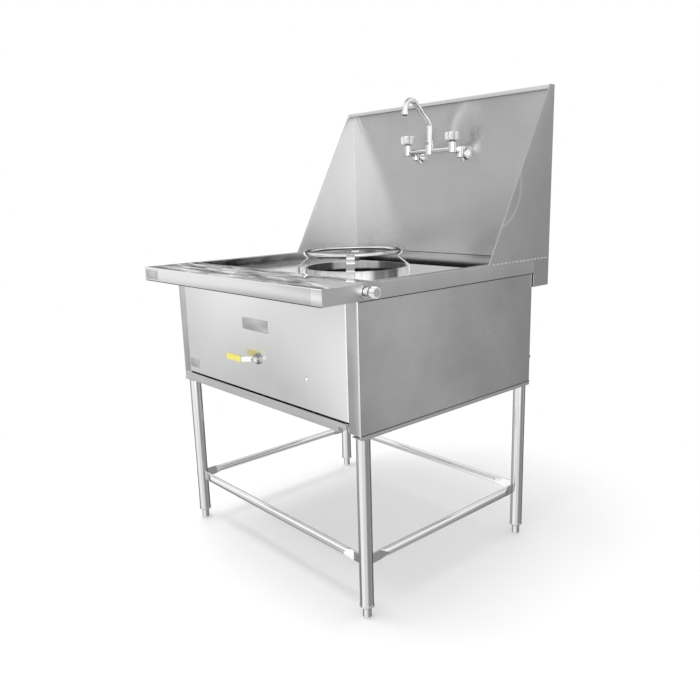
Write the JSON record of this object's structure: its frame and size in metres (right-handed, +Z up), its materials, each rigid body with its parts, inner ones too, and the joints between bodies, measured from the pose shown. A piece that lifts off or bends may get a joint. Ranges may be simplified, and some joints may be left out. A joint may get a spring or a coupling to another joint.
{
  "type": "wok burner",
  "caption": "Free-standing steel wok range with an open burner in a shallow basin, a splash guard with a swivel faucet, a gas lever, a slide-out drip tray and tube legs.",
  "frame": {"origin": "on the floor under the middle of the outline", "axes": "+X to the right seen from the front, +Y to the back (the front faces -Y), +Z up"},
  "size_m": [0.9466, 0.954, 1.4336],
  "materials": {
    "brushed_sheet": "brushed",
    "polished_steel": "polished",
    "dull_steel": "mill",
    "chrome_fittings": "polished",
    "cast_iron": "rough",
    "brass": "satin",
    "acrylic": "gloss",
    "yellow_vinyl": "satin"
  },
  "bodies": {
    "range": {"front_shelf": "brushed_sheet", "left_rim": "brushed_sheet", "right_rim": "brushed_sheet", "basin_floor": "polished_steel", "gutter": "brushed_sheet", "drain_tube": "brushed_sheet", "back_panel": "brushed_sheet", "left_wing": "brushed_sheet", "right_wing": "brushed_sheet", "front_panel": "brushed_sheet", "left_side_panel": "brushed_sheet", "right_side_panel": "brushed_sheet", "rear_panel": "brushed_sheet", "side_base_angles": "brushed_sheet", "rear_base_angle": "brushed_sheet", "tray_runners": "brushed_sheet", "leg_front_left": "polished_steel", "leg_front_right": "polished_steel", "leg_rear_left": "polished_steel", "leg_rear_right": "polished_steel", "front_rail": "polished_steel", "rear_rail": "polished_steel", "left_rail": "polished_steel", "right_rail": "polished_steel", "foot_collars": "polished_steel", "burner_collar": "polished_steel", "heat_drum": "dull_steel", "burner_bars": "dull_steel", "burner_head": "cast_iron", "burner_jets": "brass", "mixer_tube": "cast_iron", "injector": "brass", "burner_pipe": "dull_steel", "gas_supply_pipe": "dull_steel", "valve_body": "chrome_fittings", "valve_gland": "chrome_fittings", "panel_bolt": "polished_steel", "wall_flanges": "chrome_fittings", "wall_unions": "chrome_fittings", "faucet_body": "chrome_fittings", "spout_nut": "chrome_fittings", "rinse_valve": "chrome_fittings", "rinse_pipes": "dull_steel"},
    "ring": {"wok_ring": "polished_steel"},
    "lever": {"valve_ball": "chrome_fittings", "gas_lever": "chrome_fittings", "lever_nut": "chrome_fittings", "lever_grip": "yellow_vinyl"},
    "hot_handle": {"hot_knob": "acrylic"},
    "cold_handle": {"cold_knob": "acrylic"},
    "swivel_spout": {"spout": "chrome_fittings", "aerator": "chrome_fittings"},
    "rinse_handle": {"rinse_knob": "acrylic"},
    "tray": {"drip_tray": "brushed_sheet"},
    "foot_front_left": {"foot_front_left": "polished_steel"},
    "foot_front_right": {"foot_front_right": "polished_steel"},
    "foot_rear_left": {"foot_rear_left": "polished_steel"},
    "foot_rear_right": {"foot_rear_right": "polished_steel"}
  },
  "joints": [
    {"name": "ring_lift", "type": "slide", "parent": "range", "child": "ring", "axis": [0, 0, 1], "range_m": [0, 0.25]},
    {"name": "lever_turn", "type": "hinge", "parent": "range", "child": "lever", "pos_m": [-0.01525, -0.378, 0.66199], "axis": [0, -1, 0], "range_deg": [0, 90]},
    {"name": "hot_turn", "type": "hinge", "parent": "range", "child": "hot_handle", "pos_m": [-0.11835, 0.3895, 1.2925], "axis": [0, 0, 1], "range_deg": [0, 360]},
    {"name": "cold_turn", "type": "hinge", "parent": "range", "child": "cold_handle", "pos_m": [0.08485, 0.3895, 1.2925], "axis": [0, 0, 1], "range_deg": [0, 360]},
    {"name": "spout_swivel", "type": "hinge", "parent": "range", "child": "swivel_spout", "pos_m": [-0.01675, 0.3895, 1.284], "axis": [0, 0, 1], "range_deg": [-80, 80]},
    {"name": "rinse_turn", "type": "hinge", "parent": "range", "child": "rinse_handle", "pos_m": [0.45475, -0.346, 0.897], "axis": [1, 0, 0], "range_deg": [0, 360]},
    {"name": "tray_slide", "type": "slide", "parent": "range", "child": "tray", "axis": [0, -1, 0], "range_m": [0, 0.6]},
    {"name": "foot_front_left_turn", "type": "hinge", "parent": "range", "child": "foot_front_left", "pos_m": [-0.45075, -0.3395, 0.031], "axis": [0, 0, 1], "range_deg": [0, 360]},
    {"name": "foot_front_right_turn", "type": "hinge", "parent": "range", "child": "foot_front_right", "pos_m": [0.40425, -0.3395, 0.031], "axis": [0, 0, 1], "range_deg": [0, 360]},
    {"name": "foot_rear_left_turn", "type": "hinge", "parent": "range", "child": "foot_rear_left", "pos_m": [-0.45075, 0.3455, 0.031], "axis": [0, 0, 1], "range_deg": [0, 360]},
    {"name": "foot_rear_right_turn", "type": "hinge", "parent": "range", "child": "foot_rear_right", "pos_m": [0.40425, 0.3455, 0.031], "axis": [0, 0, 1], "range_deg": [0, 360]}
  ]
}
